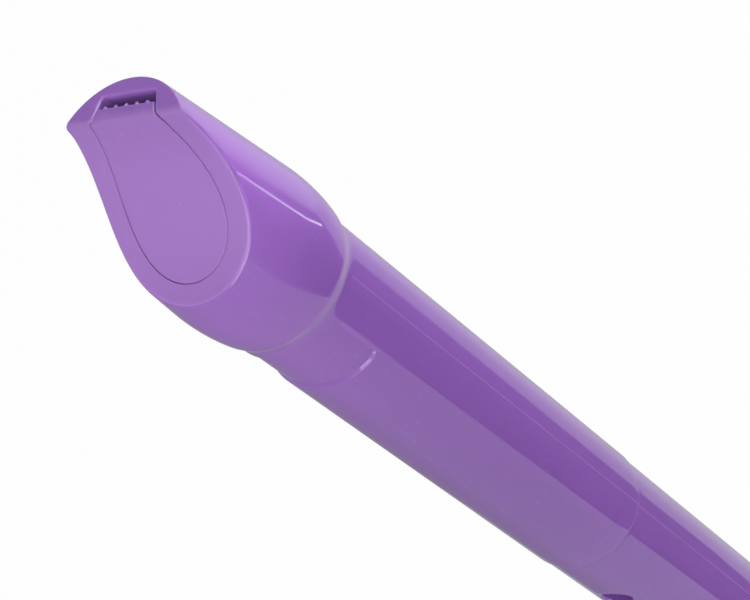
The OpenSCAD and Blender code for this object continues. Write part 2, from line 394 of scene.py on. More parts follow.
def moulded(name, colour, roughness, spread, grain_scale, grain_depth):
    """One finish of the plastic, as a node tree on the Principled shader."""
    material = bpy.data.materials.new(name)
    material.use_nodes = True
    nodes, links = material.node_tree.nodes, material.node_tree.links
    shader = nodes["Principled BSDF"]
    shader.inputs["IOR"].default_value = plastic_ior
    place = add_node(nodes, "ShaderNodeTexCoord").outputs["Object"]

    cloud = add_node(nodes, "ShaderNodeTexNoise", Scale=cloud_scale, Detail=3.0)
    tint = add_node(nodes, "ShaderNodeMix", data_type="RGBA")
    tint.inputs["A"].default_value = (*((1 - cloud_spread) * c for c in colour), 1)
    tint.inputs["B"].default_value = (*((1 + cloud_spread) * c for c in colour), 1)
    links.new(place, cloud.inputs["Vector"])
    links.new(cloud.outputs["Fac"], tint.inputs["Factor"])

    along = add_node(nodes, "ShaderNodeMapping", Scale=scuff_stretch)
    hair = add_node(nodes, "ShaderNodeTexNoise", Scale=scuff_scale, Detail=1.0)
    mark = add_node(nodes, "ShaderNodeMapRange", **dict(zip(("From Min", "From Max"), scuff_range)))
    worn = add_node(nodes, "ShaderNodeMix", data_type="RGBA")
    worn.inputs["B"].default_value = (*(scuff_gain * c + scuff_dust for c in colour), 1)
    links.new(place, along.inputs["Vector"])
    links.new(along.outputs["Vector"], hair.inputs["Vector"])
    links.new(hair.outputs["Fac"], mark.inputs["Value"])
    links.new(mark.outputs["Result"], worn.inputs["Factor"])
    links.new(tint.outputs["Result"], worn.inputs["A"])
    links.new(worn.outputs["Result"], shader.inputs["Base Color"])

    smear = add_node(nodes, "ShaderNodeTexNoise", Scale=smear_scale, Detail=4.0)
    gloss = add_node(nodes, "ShaderNodeMapRange", **dict(zip(("From Min", "From Max"), smear_range)))
    gloss.inputs["To Min"].default_value = roughness - spread
    gloss.inputs["To Max"].default_value = roughness + spread
    links.new(place, smear.inputs["Vector"])
    links.new(smear.outputs["Fac"], gloss.inputs["Value"])
    links.new(gloss.outputs["Result"], shader.inputs["Roughness"])

    grain = add_node(nodes, "ShaderNodeTexNoise", Scale=grain_scale, Detail=2.0)
    relief = add_node(nodes, "ShaderNodeBump", Strength=grain_strength, Distance=grain_depth)
    links.new(place, grain.inputs["Vector"])
    links.new(grain.outputs["Fac"], relief.inputs["Height"])
    links.new(relief.outputs["Normal"], shader.inputs["Normal"])
    return material


# Name, tint, roughness and its spread, scale and depth of the grain.
finish_table = (
    ("gloss_purple", purple, 0.055, 0.02, 600.0, 2e-6),
    ("satin_purple", satin_tint, 0.46, 0.05, 5000.0, 8e-6),
    ("seam_shade_and_dirt_purple", seam_shade_and_dirt_tint, 0.6, 0.05, 5000.0, 8e-6),
    ("tip_shaded_purple", tip_shade_tint, 0.42, 0.05, 5000.0, 6e-6),
)
head_materials = tuple(moulded(*row) for row in finish_table)
gloss_purple, satin_purple, seam_shade_and_dirt_purple, tip_shaded_purple = head_materials
GLOSS, SATIN, SEAM_SHADE_AND_DIRT, TIP_SHADED = range(len(head_materials))
print("finishes", [material.name for material in head_materials])

# %% [markdown]
# ## Rounding an edge between two surfaces
# A moulded edge is never a knife edge. At each point of an outline the two surfaces give two directions that
# leave the edge at right angles, and a short curve from one to the other replaces the corner. The outlines
# of the hole and the rim use the same function with their own widths.

# %% Edge rounding
edge_steps = 7


def leave_edge(points, normal, against):
    """Direction in the surface with this normal, square to the edge, away from the other normal."""
    along = np.roll(points, -1, 0) - np.roll(points, 1, 0)
    away = unit(np.cross(normal, along))
    return np.where(np.sum(away * against, -1, keepdims=True) > 0, -away, away)


def round_edge(start, corner, end, steps=edge_steps):
    share = np.linspace(0, 1, steps)[:, None, None]
    return (1 - share) ** 2 * start + 2 * share * (1 - share) * corner + share ** 2 * end


def wall_normal(points, inside):
    """Level normal of an upright wall under an outline, pointing into the plastic or into the hole."""
    along = np.roll(points, -1, 0) - np.roll(points, 1, 0)
    out = unit(np.stack([along[:, 1], -along[:, 0], np.zeros(len(points))], -1))
    from_middle = points * [1, 1, 0] - [0, block_behind, 0]
    facing = np.sum(out * from_middle, -1, keepdims=True) > 0
    return np.where(facing == inside, -out, out)


print(f"rounded edges in {edge_steps} steps")

# %% [markdown]
# ## The head
# The head is one closed skin. It starts at the rim, runs down the outside over the bulb, the shoulder and
# the tube to the socket, turns in, climbs the bore to the ledge under the block, comes up the walls of the
# hole and the windway, and goes back over the top of the beak to the rim. First comes the turned part: a
# list of stations and radii, with round stretches as arcs that meet without a kink.

# %% Arcs and where they meet
def bend(centre_at, centre_r, radius, start, stop, steps):
    """Stations and radii on an arc, with angles in radians from straight out towards the foot."""
    angle = np.linspace(start, stop, steps)
    return np.stack([centre_at + radius * np.sin(angle), centre_r + radius * np.cos(angle)], -1)


def straight(stations, radius):
    return np.stack([stations, np.full(len(stations), radius)], -1)


fan_end = 24.0
turn_in = math.asin((shoulder_at - bulb_at) / bulb_curve)
shoulder_r = curve_r + (bulb_curve - shoulder_round) * math.cos(turn_in)
shoulder_c = bulb_at + (bulb_curve - shoulder_round) * math.sin(turn_in)
neck_turn = math.acos((tube_r + neck_fillet - shoulder_r) / (shoulder_round + neck_fillet))
neck_at = shoulder_c + (shoulder_round + neck_fillet) * math.sin(neck_turn)
print(f"shoulder turns in at station {shoulder_at:.1f}, neck ends at {neck_at:.2f}")

# %% [markdown]
# ## The profile in rings
# A straight tube needs few rings, but the panel on its back needs many close ones at its upper and lower
# edge, where the surface bends within a millimetre. Each stretch between two stops gets its own number of
# rings. The inside is plainer: a bevelled socket and a straight bore.

# %% Outside and inside
panel_w = 20.1
panel_end = 54.7
panel_h = 11.0
panel_depth = 0.4
panel_corner = 1.2
panel_edge = 0.4
panel_top = panel_end - panel_h
tube_stops = (
    neck_at,
    panel_top - panel_edge,
    panel_top + panel_edge,
    panel_end - panel_edge,
    panel_end + panel_edge,
)
tube_counts = (8, 12, 26, 12)
plain_count = 30
bulb_steps, shoulder_steps, neck_steps, rim_steps = 22, 14, 10, 8
tube_stations = [np.linspace(*ends)[1:] for ends in zip(tube_stops, tube_stops[1:], tube_counts)]
tube_stations.append(np.linspace(tube_stops[-1], head_len - rim_round, plain_count)[1:-1])
outside = np.concatenate([
    [[fan_end, tip_r + taper * fan_end]],
    bend(bulb_at, curve_r, bulb_curve, -touch, turn_in, bulb_steps)[:-1],
    bend(shoulder_c, shoulder_r, shoulder_round, turn_in, neck_turn, shoulder_steps)[:-1],
    bend(neck_at, tube_r + neck_fillet, neck_fillet, math.pi + neck_turn, math.pi, neck_steps),
    straight(np.concatenate(tube_stations), tube_r),
    bend(head_len - rim_round, tube_r - rim_round, rim_round, 0, math.pi / 2, rim_steps),
])
socket_bevel = 0.4
socket_top = head_len - socket_len
bore_step = 20
inside = np.array([
    [head_len, socket_r + socket_bevel],
    [head_len - socket_bevel, socket_r],
    [socket_top, socket_r],
    [socket_top, head_bore_r],
    [socket_top - bore_step, head_bore_r],
    [windway_len + bore_step, head_bore_r],
    [windway_len, head_bore_r],
])
print(f"{len(outside)} rings outside, {len(inside)} inside")

# %% [markdown]
# ## The back panel and the parting lines
# On the back, just under the bulb, the tool leaves a shallow panel in the tube. Its depth comes from the
# distance to a rounded rectangle, so its edge rolls over evenly, and the rings of the head simply dip by that
# depth. Where the halves of the tool meet, along both sides, a fine matt line runs down the tube, and that is
# a dip too. Cutting these with a Boolean would leave ragged edges at this depth.

# %% The back panel
def panel_drop(x, station):
    """Depth of the shallow panel at a place on the back of the tube."""
    half = np.array([panel_w / 2, panel_h / 2]) - panel_corner
    across = np.abs(x) - half[0]
    down = np.abs(station - (panel_end + panel_top) / 2) - half[1]
    outside_part = np.hypot(np.maximum(across, 0), np.maximum(down, 0))
    from_edge = outside_part + np.minimum(np.maximum(across, down), 0) - panel_corner
    return panel_depth * (1 - smooth_step(from_edge, -panel_edge / 2, panel_edge / 2))


azimuth = np.where(ray > 0, math.pi - ray, -math.pi - ray)
facing = np.stack([np.sin(azimuth), np.cos(azimuth)], -1)
parting_depth = 0.015
parting_half = math.radians(0.4)
parting_fade = 3.0
tube_limit = tube_r + 0.001


def on_parting(angles):
    """Where the two halves of a mould meet, along both sides."""
    return np.abs(np.abs(angles) - math.pi / 2) < parting_half


def parting(angles):
    """Depth of the fine matt line that the mould leaves there."""
    return parting_depth * on_parting(angles)


def ring_at(station, radius):
    """A ring of the head, with the parting lines, and with the panel sunk in at the back."""
    back = facing[:, 1] > 0
    drop = np.where(back & (radius < tube_limit), panel_drop(tube_r * facing[:, 0], station), 0)
    drop = drop + parting(azimuth) * smooth_step(station, neck_at, neck_at + parting_fade)
    level = np.full(columns, tip_z - station)
    return np.column_stack([facing * (radius - drop)[:, None], level])


def plain_ring(station, radius):
    return np.column_stack([facing * radius, np.full(columns, tip_z - station)])


print(f"panel {panel_w} by {panel_h} mm, {panel_depth} mm deep")

# %% [markdown]
# ## Rings over the beak
# The top of the beak isn't turned, so its rings need their own helpers. From the rim, rings fan out down
# the taper until one of them is level. On top, rings run from the hole to the rim, straight in the unrolled
# sheet. Edges change their width on the way: the rim is fine at the tip and wider along the hollow, and the
# hole has a bevel at the windway's mouth and a fine edge along the seam.

# %% Rings of the beak
rim_edge = 0.6
tip_edge = 0.18
seam_edge = 0.2
windway_edge = 0.65
mouth_end = 0.5
hollow_start = 3.5
top_rings = 16
fan_rings = 22
wall_rings = 6


def outer_normal(points):
    out = unit(points * [1, 1, 0])
    return unit(out + [0, 0, taper])


def fan_out(start):
    """Rings on the taper from the rounded rim down to the first full ring."""
    start_turn = np.arctan2(start[:, 0], start[:, 1])
    start_at = tip_z - start[:, 2]
    rings = []
    for share in np.linspace(0, 1, fan_rings)[:-1]:
        turn = start_turn + (azimuth - start_turn) * share
        station = start_at + (fan_end - start_at) * share
        radius = tip_r + taper * station
        rings.append(np.stack([radius * np.sin(turn), radius * np.cos(turn), tip_z - station], -1))
    return rings


def over_top(start, end, rings):
    """Rings over the top of the beak, straight in the sheet."""
    start_s = sheet_s(start[:, 1])
    end_s = sheet_s(end[:, 1])
    shares = np.linspace(0, 1, rings)[:, None]
    return beak_point(start[:, 0] + (end[:, 0] - start[:, 0]) * shares, start_s + (end_s - start_s) * shares)


def edge_width(s, hollow, mouth):
    """The width of an edge, from one value round the mouth to another along the hollow."""
    return (mouth + (hollow - mouth) * smooth_step(s, mouth_end, hollow_start))[:, None]


print(f"{fan_rings} rings down the taper, {top_rings} over the top")

# %% [markdown]
# ## The rounded rim and mouth
# A corner is rounded by stepping back from it along both surfaces. The rim steps back along the top and down
# the taper, and the hole along the top and down its wall. Points that would rise above the flat tip are held
# at its level, so the head is exactly as long as the CAD model says.

# %% Round the rim and the mouth
rim_top = beak_normal(rim_s)
rim_out = outer_normal(rim)
rim_width = edge_width(rim_s, rim_edge, tip_edge)
rim_in_point = rim + rim_width * leave_edge(rim, rim_top, rim_out)
rim_out_point = rim + rim_width * leave_edge(rim, rim_out, rim_top)

hole = beak_point(hole_x, hole_s)
hole_top = beak_normal(hole_s)
hole_wall = wall_normal(hole, inside=True)
hole_width = edge_width(hole_s, seam_edge, windway_edge)
hole_top_point = hole + hole_width * leave_edge(hole, hole_top, hole_wall)
hole_wall_point = hole + hole_width * leave_edge(hole, hole_wall, hole_top)
for points in (rim_in_point, rim_out_point, hole_top_point):
    points[:, 2] = np.minimum(points[:, 2], tip_z)
ledge = hole.copy()
ledge[:, 1] = np.maximum(ledge[:, 1], -roof_at_window)
ledge[:, 2] = tip_z - windway_len
print(f"ledge of the block at station {windway_len:.0f}")

# %% [markdown]
# ## The head's skin and its finishes
# Now the rings are put in order and joined. Each face also gets a finish: gloss outside, satin in the hollow
# and the windway, a darker seam painted as dirt and shade, and the tip a deeper tint painted as shade. On one
# side the painted shade reaches further up the edge.
# Finishes on faces are safer here than a painted mask, because their borders lie exactly on edges.

# %% Rings in order
rings = list(round_edge(rim_in_point, rim, rim_out_point))
rings += fan_out(rim_out_point)[1:]
outside_from = len(rings)
rings += [ring_at(station, radius) for station, radius in outside]
outside_to = len(rings)
rings += [plain_ring(station, radius) for station, radius in inside]
wall_share = np.linspace(0, 1, wall_rings)[:-1, None, None]
rings += list(ledge + (hole_wall_point - ledge) * wall_share)
rings += list(round_edge(hole_wall_point, hole, hole_top_point))
rings += list(over_top(hole_top_point, rim_in_point, top_rings)[1:-1])
print(f"{len(rings)} rings of {columns} points")

# %% Finishes of the head, and its skin
seam_from = 0.6
shade_and_dirt_rings = 2
painted_shade_rings_far = 4
satin_from = len(rings) - top_rings - edge_steps + 2
wall_from = satin_from - wall_rings + 1
parting_from = outside_from + np.searchsorted(outside[:, 0], neck_at)
in_seam = hole_s > seam_from
head_finishes = np.full((len(rings), columns), GLOSS)
head_finishes[wall_from:] = SATIN
head_finishes[:edge_steps // 2] = SATIN
head_finishes[parting_from:outside_to, on_parting(azimuth)] = SATIN
# The seam's walls get the darker finish as painted shade in the gap and as dirt. On one side it is painted
# further up the edge, as painted shade only.
head_finishes[wall_from:satin_from + shade_and_dirt_rings, in_seam] = SEAM_SHADE_AND_DIRT
head_finishes[wall_from:satin_from + painted_shade_rings_far, in_seam & (hole_x > 0)] = SEAM_SHADE_AND_DIRT
top_finishes = head_finishes[satin_from:]
on_tip = np.array(rings[satin_from:])[..., 1] < lip_y
# The faces of the tip take the deeper tint, painted shade for their weaker sheen.
top_finishes[on_tip & (top_finishes == SATIN)] = TIP_SHADED
head = skin("head_joint_shell", rings, True, head_materials, head_finishes)
print(f"head: {len(head.data.vertices)} points")

# %% [markdown]
# ## The window and the labium
# Under the windway's end a window is cut through the front of the tube, and a ramp runs up from its lower
# edge, the labium, which splits the air. Two straight prisms cross to make the cutter: one gives the side
# view with the ramp, the other the width. Both flare where they leave the tube, which breaks the edges.

# %% A prism and two ways to place it
def prism(name, outline, low, high, place):
    """A closed prism over an outline of at least three corners."""
    ends = [place(np.array(outline), np.full(len(outline), level)) for level in (low, high)]
    count = len(outline)
    faces = [list(range(count))[::-1], list(range(count, 2 * count))]
    faces += [[i, (i + 1) % count, count + (i + 1) % count, count + i] for i in range(count)]
    mesh = bpy.data.meshes.new(name)
    mesh.from_pydata((np.concatenate(ends) * MM).tolist(), [], faces)
    mesh.validate()
    work = bmesh.new()
    work.from_mesh(mesh)
    bmesh.ops.recalc_face_normals(work, faces=work.faces)
    work.to_mesh(mesh)
    work.free()
    return add_piece(name, mesh)


def across_tube(outline, x):
    """An outline of y and station, pushed across the tube."""
    return np.stack([x, outline[:, 0], tip_z - outline[:, 1]], -1)


def along_tube(outline, station):
    """An outline of x and y, pushed along the tube."""
    return np.stack([outline[:, 0], outline[:, 1], tip_z - station], -1)


window_len = 4.0
ramp_len = 15.0
labium_t = 0.4
underside_len = 12.0
window_flare = 0.25
print(f"window {window_len} mm long, labium {labium_t} mm thick")

# %% Cut the window
reach = 20.0
past_axis = 1.0
prism_above = 30.0
prism_below = 60.0
labium_at = windway_len + window_len
ramp_top = floor_level + labium_t
ramp_slope = (tube_r - ramp_top) / ramp_len
bore_corner = math.sqrt(head_bore_r ** 2 - (windway_w / 2) ** 2)
side_outline = [
    (0, windway_len),
    (-tube_r + window_flare, windway_len),
    (-reach, windway_len - reach + tube_r - window_flare),
    (-reach, labium_at + (reach - ramp_top) / ramp_slope),
    (-ramp_top, labium_at),
    (-floor_level, labium_at),
    (-bore_corner, labium_at + underside_len),
    (0, labium_at + underside_len),
]
side_tool = prism("window_side", side_outline, -reach, reach, across_tube)
edge_y = -math.sqrt(tube_r ** 2 - (windway_w / 2) ** 2) + window_flare
half = windway_w / 2
width_outline = [
    (half, past_axis),
    (half, edge_y),
    (half + reach + edge_y, -reach),
    (-half - reach - edge_y, -reach),
    (-half, edge_y),
    (-half, past_axis),
]
width_ends = (windway_len - prism_above, labium_at + prism_below)
width_tool = prism("window_width", width_outline, *width_ends, along_tube)
carve(side_tool, width_tool, "INTERSECT")
carve(head, side_tool)
print(f"window from station {windway_len:.0f} to {labium_at:.0f}, ramp to {labium_at + ramp_len:.0f}")

# %% [markdown]
# ## The block
# The block is a separate moulding that is pushed into the beak. Its front is the floor of the windway, and
# its top is flush with the hollow. It could be cut from a solid plug with a Boolean, but drawn in the same
# sheet as its hole it keeps an even seam all round. Its skin starts at one point on top and ends at another
# below.

# %% The block's skin
block_edge = 0.2
floor_edge = 0.3
cap_rings = 24
side_rings = 5
block = beak_point(block_x, block_s)
block_top = beak_normal(block_s)
block_wall = wall_normal(block, inside=False)
block_width = edge_width(block_s, block_edge, floor_edge)
block_top_point = block + block_width * leave_edge(block, block_top, block_wall)
block_wall_point = block + block_width * leave_edge(block, block_wall, block_top)
block_top_point[:, 2] = np.minimum(block_top_point[:, 2], tip_z)
foot_of_block = block.copy()
foot_of_block[:, 2] = tip_z - windway_len
top_middle = beak_point(np.zeros(columns), np.full(columns, sheet_centre))
low_middle = np.full((columns, 3), [0, block_behind, tip_z - windway_len])
rings = list(over_top(top_middle, block_top_point, cap_rings)[:-1])
rings += list(round_edge(block_top_point, block, block_wall_point))
side_share = np.linspace(0, 1, side_rings)[1:, None, None]
rings += list(block_wall_point + (foot_of_block - block_wall_point) * side_share)
rings += [(foot_of_block + low_middle) / 2, low_middle]
# The block's seam takes the same painted shade and dirt as the head's, and its tip the same painted shade.
block_materials = (satin_purple, seam_shade_and_dirt_purple, tip_shaded_purple)
block_satin, block_seam_shade_and_dirt, block_tip_shaded = range(3)
seam_start = cap_rings + edge_steps // 2
on_tip = np.array(rings[:seam_start])[..., 1] < lip_y
cap_finishes = np.where(on_tip, block_tip_shaded, block_satin)
side_row = np.where(block_s > seam_from, block_seam_shade_and_dirt, block_satin)
side_finishes = np.tile(side_row, (len(rings) - seam_start, 1))
block_finishes = np.concatenate([cap_finishes, side_finishes])
plug = skin("windway_block_shell", rings, False, block_materials, block_finishes)
print(f"block: {len(plug.data.vertices)} points in {len(rings)} rings")

# %% [markdown]
# ## The ribs of the windway
# Five short ribs stand on the windway's floor and guide the breath. Each is a slim round bar that swells
# from its blunt nose and fades out in a longer tail. The rings of the block could carry them as bumps, but
# bars are easier to place and to count. They are joined on with the Boolean's union, so that block and ribs
# are one moulding.

# %% Its ribs
rib_count = 5
rib_h = 0.45
rib_w = 0.7
rib_len = 6.0
rib_pitch = windway_w / rib_count
rib_nose = 0.3
rib_tail = 1.2
rib_points = 24
end_rings = 9
around = np.linspace(0, 2 * math.pi, rib_points, endpoint=False)
quarter = np.linspace(0, math.pi / 2, end_rings)
nose = rib_nose * (1 - np.cos(quarter))
tail = rib_len - rib_tail * (1 - np.sin(quarter))
for i in range(rib_count):
    middle_x = (i + 0.5) * rib_pitch - windway_w / 2
    rings = []
    for place in np.concatenate([nose, np.sort(tail)]):
        from_nose = max(1 - place / rib_nose, 0)
        from_tail = max(1 - (rib_len - place) / rib_tail, 0)
        swell = math.sqrt(1 - max(from_nose, from_tail) ** 2)
        rings.append(np.stack([
            middle_x + swell * rib_w / 2 * np.cos(around),
            -floor_level - swell * rib_h * np.sin(around),
            np.full(rib_points, tip_z - place),
        ], -1))
    carve(plug, skin(f"rib_{i}", rings), "UNION")
print(f"block: {len(plug.data.vertices)} points with {rib_count} ribs")

# %% [markdown]
# ## Turning a tube
# The middle joint and the foot are round all over, so each is one closed profile of radii and heights, spun
# round the bore. The Screw modifier could spin it, but with rings each face can have its own finish, which
# the parting lines need. No moulded corner is sharp, so each corner of the profile first becomes a short
# curve. Long lines are then divided, because long thin faces would shade unevenly once holes are cut in them.

# %% Turning
spin_rays = 288
spin = turns(spin_rays)
spin_xy = np.stack([np.sin(spin), np.cos(spin)], -1)
most_room = 0.45


def soften(corners, radius, steps=6):
    """Replaces each corner of a closed profile by a short curve."""
    corners = np.array(corners, float)
    curves = []
    for before, corner, after in zip(np.roll(corners, 1, 0), corners, np.roll(corners, -1, 0)):
        room_before = min(radius, np.linalg.norm(before - corner) * most_room)
        room_after = min(radius, np.linalg.norm(after - corner) * most_room)
        start = corner + unit(before - corner) * room_before
        end = corner + unit(after - corner) * room_after
        curves.append(round_edge(start, corner, end, steps)[:, 0])
    return np.concatenate(curves)


def divide(profile, longest=1.0):
    """Adds points to the long lines of a closed profile, so that no face is long and thin."""
    result = []
    for start, end in zip(profile, np.roll(profile, -1, 0)):
        count = max(math.ceil(np.linalg.norm(end - start) / longest), 1)
        result += [start + (end - start) * i / count for i in range(count)]
    return np.array(result)


def turned(name, profile):
    """Spins a closed profile of radii and heights round the bore."""
    profile = divide(profile)
    dip = parting(spin)[:, None]
    rings = []
    for radius, height in profile:
        rings.append(np.column_stack([spin_xy * (radius - dip), np.full(len(spin), height)]))
    finishes = np.tile(np.where(on_parting(spin), SATIN, GLOSS), (len(profile), 1))
    return skin(name, rings, True, (gloss_purple, satin_purple), finishes)


print(f"{len(spin)} points in each turned ring")

# %% [markdown]
# ## Drilling a hole
# A finger hole goes through one wall, and its edge is rounded, so that it feels soft under the finger. The
# cutter is a skin too: a straight shaft from inside the bore, then rings that lean out like a trumpet, each
# at an even height over the round of the tube. The rounded edge then keeps one width all round, which a
# bevel of the cut edge wouldn't on such a curve.

# %% Drilling
drill_points = 72
lean_steps = 10
lean_end = 84
shaft_start = 1.0
past_flare = 2.5
past_rise = 0.3
lid_above = 1.0


def drill(piece, diameter, height, turn, radius_at, flare):
    """Drills a hole from outside to the bore, with a rounded edge that follows the surface."""
    radius = diameter / 2
    angle = np.linspace(0, 2 * math.pi, drill_points, endpoint=False)
    lean = np.radians(np.linspace(0, lean_end, lean_steps))
    spread = [(radius, None)]
    spread += [(radius + flare * (1 - math.cos(a)), flare * (math.sin(a) - 1)) for a in lean]
    last_out, last_up = spread[-1]
    past = past_flare * flare
    spread.append((last_out + past, last_up + past / math.tan(lean[-1]) + past_rise))
    rings = []
    for out, rise in spread:
        x = out * np.sin(angle)
        z = height + out * np.cos(angle)
        surface = np.sqrt(radius_at(z) ** 2 - x ** 2)
        depth = np.full_like(x, shaft_start) if rise is None else surface + rise
        rings.append(np.stack([x, -depth, z], -1))
    lid = rings[-1].copy()
    lid[:, 1] = lid[:, 1].min() - lid_above
    rings = [rings[0].mean(0) + 0 * rings[0]] + rings + [lid, lid.mean(0) + 0 * lid]
    tool = skin("drill", rings)
    tool.data.transform(Matrix.Rotation(math.radians(turn), 4, "Z"))
    carve(piece, tool)


print(f"a drill has {drill_points} points round it and leans out to {lean_end} degrees")

# %% [markdown]
# ## The middle joint
# The middle joint is a tube with a slow taper and a tenon at each end. The tenons push into the head and the
# foot, and two grooves in each hold grease. The bore narrows towards the foot. The heights of both ends come
# from the frame, so the tenons sit in their sockets as in the CAD model.

# %% The middle joint
middle_low, middle_high = (np.array(corner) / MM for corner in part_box("middle_joint"))
seat_gap = 0.05
middle_len = 132.0
top_z = head_low[2] - seat_gap
low_z = head_low[2] - middle_len + seat_gap
middle_top_r = 11.75
middle_low_r = 11.65
head_tenon_r = 8.7
foot_tenon_r = 7.7
bore_top_r = 6.5
bore_low_r = 5.4
groove_depth = 0.35
groove_w = 1.6
tenon_bevel = 0.4
groove_shares = (0.3, 0.65)
tenon_round = 0.35


def tenon(radius, root, end):
    """Corners of a tenon from its root to its free end, with two grease grooves."""
    step = math.copysign(1, end - root)
    corners = [(radius, root)]
    for share in groove_shares:
        middle = root + (end - root) * share
        near = middle - step * groove_w / 2
        far = middle + step * groove_w / 2
        bottom = radius - groove_depth
        corners += [(radius, near), (bottom, near), (bottom, far), (radius, far)]
    corners += [(radius, end - step * tenon_bevel), (radius - tenon_bevel / 2, end)]
    return corners


def middle_radius(z):
    return middle_top_r + (middle_low_r - middle_top_r) * (top_z - z) / (top_z - low_z)


corners = [(bore_top_r, middle_high[2])]
corners += tenon(head_tenon_r, top_z, middle_high[2])[::-1]
corners += [(middle_top_r, top_z), (middle_low_r, low_z)]
corners += tenon(foot_tenon_r, low_z, middle_low[2])
corners += [(bore_low_r, middle_low[2])]
middle = turned("middle_joint_shell", soften(corners, tenon_round))
print(f"middle joint: {len(middle.data.vertices)} points before drilling")

# %% [markdown]
# ## The finger holes
# The holes are placed as shares of the joint's length. Their sizes differ, because each has to sound in tune
# where a finger can reach it. The sixth is a pair of small holes, of which the player covers one or both, and
# the thumb hole is drilled from the back. One cutter for all would be quicker, but a cut for each hole is
# easier to check.

# %% Finger holes
hole_flare = 0.7
thumb_share, thumb_d = 0.14, 5.6
front_holes = ((0.18, 5.6), (0.325, 6.6), (0.475, 6.3), (0.68, 6.6), (0.82, 6.8))
sixth_share = 0.94
pair_sides = (-0.5, 0.5)
pair_d = (4.0, 3.4)
pair_angle = 29.0
pair_flare = hole_flare / 2


def share_z(share):
    return head_low[2] - share * middle_len


drill(middle, thumb_d, share_z(thumb_share), 180, middle_radius, hole_flare)
for share, diameter in front_holes:
    drill(middle, diameter, share_z(share), 0, middle_radius, hole_flare)
for side, diameter in zip(pair_sides, pair_d):
    drill(middle, diameter, share_z(sixth_share), side * pair_angle, middle_radius, pair_flare)
print(f"middle joint: {len(middle.data.vertices)} points, {len(front_holes)} holes, a pair and the thumb's")

# %% [markdown]
# ## The foot
# The foot's outside is one smooth swing, from the socket in to a waist and out again to the bell. A spline
# through a few radii could draw it, but two half cosine waves need only three sizes and never wobble. The
# foot is spun like the middle joint, and its two small holes are drilled side by side.

# %% The foot
foot_high = np.array(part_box("foot_joint")[1]) / MM
foot_len = foot_high[2]
foot_top_r = 11.9
waist_r = 10.6
waist_down = 31.0
waist_z = foot_len - waist_down
bell_r = foot_high[0]
bell_up = 5.0
foot_socket_r = 7.75
foot_socket_bevel = 0.3
foot_socket_len = 14.5
socket_z = foot_len - foot_socket_len
foot_bore_r = 5.0
foot_bore_len = 28.0
mouth_bevel = 0.8
seventh_down = 20.0
bell_points = 14
swing_points = 60
half_curve = 3


def swing(start, stop, share):
    return start + (stop - start) * (1 - np.cos(math.pi * share)) / 2


def foot_radius(z):
    low = swing(bell_r, waist_r, np.clip((z - bell_up) / (waist_z - bell_up), 0, 1))
    high = swing(waist_r, foot_top_r, np.clip((z - waist_z) / (socket_z - waist_z), 0, 1))
    return np.where(z < waist_z, low, high)


bell_turn = np.linspace(0, math.pi / 2, bell_points)
bell_out = bell_r - bell_up / 2 * (1 - np.sin(bell_turn))
bell_edge = np.stack([bell_out, bell_up * (1 - np.cos(bell_turn))], -1)
swing_z = np.linspace(bell_up, socket_z, swing_points)[1:]
swing_part = np.stack([foot_radius(swing_z), swing_z], -1)
socket_corners = [
    (foot_top_r, foot_len - rim_round * 2),
    (foot_top_r, foot_len),
    (foot_socket_r + foot_socket_bevel, foot_len),
    (foot_socket_r, foot_len - foot_socket_bevel),
    (foot_socket_r, socket_z),
    (bore_low_r, socket_z),
    (foot_bore_r, foot_bore_len),
    (foot_bore_r, mouth_bevel),
    (foot_bore_r + mouth_bevel, 0),
]
# The profile is open here, so the outer halves of the first and last curve are left out.
socket_part = soften(socket_corners, rim_round)[half_curve:-half_curve]
profile = np.concatenate([bell_edge, swing_part, socket_part])
foot = turned("foot_joint_shell", profile)
for side, diameter in zip(pair_sides, pair_d):
    drill(foot, diameter, foot_len - seventh_down, side * pair_angle, foot_radius, pair_flare)
print(f"foot: {len(foot.data.vertices)} points")

# %% [markdown]
# ## Seating the pieces
# Each skin now takes the place of its CAD solid and rides on the body that moves it. The block goes with the
# head when the player pulls it out to tune, and the foot turns by itself. The table also names the plastic
# of the part's record that each piece is made of, but nothing here gives it to the piece.

# %% Seat the pieces
seats = (
    (head, "head_joint", "head", "gloss_purple"),
    (plug, "windway_block", "head", "satin_purple"),
    (middle, "middle_joint", "middle", "gloss_purple"),
    (foot, "foot_joint", "foot", "gloss_purple"),
)
for piece, node, body, slot in seats:
    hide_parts(node)
    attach(piece, body)
    used = {face.material_index for face in piece.data.polygons}
    print(piece.name, "rides on", body, "with finishes", sorted(used))

# %% [markdown]
# ## Camera
# The camera looks at the beak from above and behind, with the instrument running away to the lower right.
# The long lens and the place come from fitting the tip, the seam and the edges of the tube. A constraint
# could aim it, but a fitted camera also rolls a little, so its axes are given as vectors.

# %% Camera
image_w = 750
focal_px = 2200.0
camera_at = Vector((-0.19414, 0.12671, 0.51932))
look = Vector((0.55517, -0.38383, -0.73788))
upright = Vector((-0.06884, -0.90531, 0.41913))
across = look.cross(upright).normalized()
upright = across.cross(look).normalized()
camera_data = bpy.data.cameras.new("camera")
camera_data.sensor_width = 36.0
camera_data.lens = focal_px / image_w * camera_data.sensor_width
camera_data.clip_start = 0.01
camera = bpy.data.objects.new("camera", camera_data)
turn = Matrix((across, upright, -look)).transposed().to_4x4()
camera.matrix_world = Matrix.Translation(camera_at) @ turn
bpy.context.scene.collection.objects.link(camera)
bpy.context.scene.camera = camera
print(f"lens {camera_data.lens:.1f} mm")

# %% [markdown]
# ## Floor and room
# The recorder stands on white paper in a white room. Both look white to the camera, but the light that they
# throw on the plastic is weaker. The Light Path node tells these rays apart, which is simpler than lighting a
# backdrop so strongly that it turns white. A trace of the paper's own shading is mixed in, so the floor
# still takes a faint shadow.

